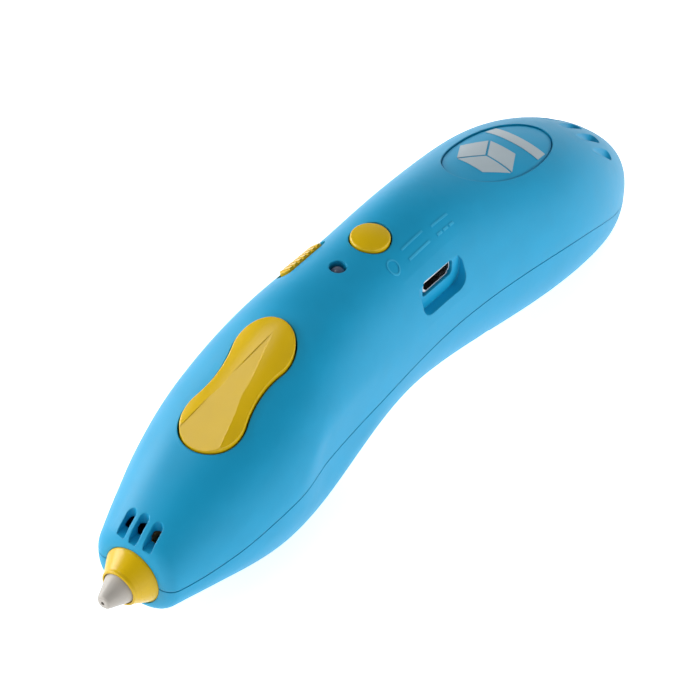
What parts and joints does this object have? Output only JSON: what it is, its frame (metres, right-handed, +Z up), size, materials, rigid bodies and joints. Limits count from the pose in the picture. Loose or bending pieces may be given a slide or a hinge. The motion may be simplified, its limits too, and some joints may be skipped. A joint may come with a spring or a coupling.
{
  "type": "three d pen",
  "caption": "Cordless 3-D printing pen: arched split housing, heated tip in a tapered collar, peanut feed rocker, push button, speed slider and USB inlet.",
  "frame": {"origin": "bottom centre of the whole pen, on the surface it rests on", "axes": "+X from the tip to the tail, +Y away from the USB inlet, +Z up through the buttons"},
  "size_m": [0.1404, 0.029, 0.0413],
  "materials": {
    "shell_blue": "fine satin grain",
    "accent_yellow": "satin gloss",
    "emblem_silver": "printed silver film",
    "screw_steel": "zinc plated",
    "tip_ceramic": "warm grey, smooth",
    "brass": "turned",
    "heater_ceramic": "dry",
    "thermistor_glass": "clear bead",
    "black_plastic": "moulded",
    "guide_white": "waxy",
    "steel": "ground",
    "board_green": "solder mask",
    "lens_clear": "clear moulded",
    "chip_black": "moulded epoxy",
    "port_steel": "bright plated",
    "gearbox_steel": "plated",
    "motor_steel": "plated",
    "frame_white": "moulded",
    "cell_wrap": "shrink sleeve",
    "wire_red": "insulation"
  },
  "bodies": {
    "pen": {"upper_shell": "shell_blue", "lower_shell": "shell_blue", "badge_plate": "shell_blue", "badge_emblem": "emblem_silver", "rating_mark": "shell_blue", "case_screws": "screw_steel", "nose_collar": "accent_yellow", "nozzle_tip": "tip_ceramic", "melt_tube": "brass", "heater_sleeve": "heater_ceramic", "thermistor": "thermistor_glass", "hot_end_mount": "black_plastic", "front_guide_tube": "guide_white", "rear_guide_tube": "guide_white", "inlet_bush": "accent_yellow", "feed_pivot": "steel", "feed_board": "board_green", "feed_switches": "black_plastic", "power_switch": "black_plastic", "status_lens": "lens_clear", "slide_switch": "steel", "main_board": "board_green", "board_chips": "chip_black", "usb_socket": "port_steel", "usb_tongue": "black_plastic", "gearbox": "gearbox_steel", "motor_can": "motor_steel", "spindle_bushes": "brass", "drive_frame": "black_plastic", "idler_pivot": "steel", "idler_spring": "steel", "battery_cell": "cell_wrap", "battery_cradle": "frame_white", "wiring": "wire_red"},
    "feed_rocker": {"feed_button": "accent_yellow"},
    "power_key": {"power_button": "accent_yellow"},
    "speed_key": {"speed_slider": "accent_yellow"},
    "spindle": {"drive_spindle": "steel", "bevel_gear": "brass", "drive_wheel": "steel"},
    "pinion": {"bevel_pinion": "brass", "output_shaft": "steel"},
    "arm": {"idler_arm": "frame_white"},
    "roller": {"idler_roller": "steel"}
  },
  "joints": [
    {"name": "feed_rock", "type": "hinge", "parent": "pen", "child": "feed_rocker", "pos_m": [-0.03362, 0, 0.02933], "axis": [0, 1, 0], "range_deg": [-1.5, 1.5], "stiffness_Nm_per_rad": 0.15},
    {"name": "power_press", "type": "slide", "parent": "pen", "child": "power_key", "axis": [0, 0, -1], "range_m": [0, 0.0006], "stiffness_N_per_m": 600, "springref_m": -0.0003},
    {"name": "speed_slide", "type": "slide", "parent": "pen", "child": "speed_key", "axis": [1, 0, 0], "range_m": [-0.0008, 0.0008]},
    {"name": "spindle_spin", "type": "hinge", "parent": "pen", "child": "spindle", "pos_m": [-0.02243, 0.0026, 0.01465], "axis": [0, 0, 1], "continuous": true},
    {"name": "pinion_spin", "type": "hinge", "parent": "pen", "child": "pinion", "pos_m": [-0.01743, 0.0026, 0.02365], "axis": [1, 0, 0], "continuous": true},
    {"name": "idler_swing", "type": "hinge", "parent": "pen", "child": "arm", "pos_m": [-0.01593, -0.0076, 0.01465], "axis": [0, 0, 1], "range_deg": [0, 4], "stiffness_Nm_per_rad": 0.02, "springref_deg": -11.46},
    {"name": "roller_spin", "type": "hinge", "parent": "arm", "child": "roller", "pos_m": [-0.02243, -0.00715, 0.01465], "axis": [0, 0, 1], "continuous": true}
  ],
  "couplings": [
    {"joint": "pinion_spin", "follows": "spindle_spin", "ratio": 1.6667}
  ]
}
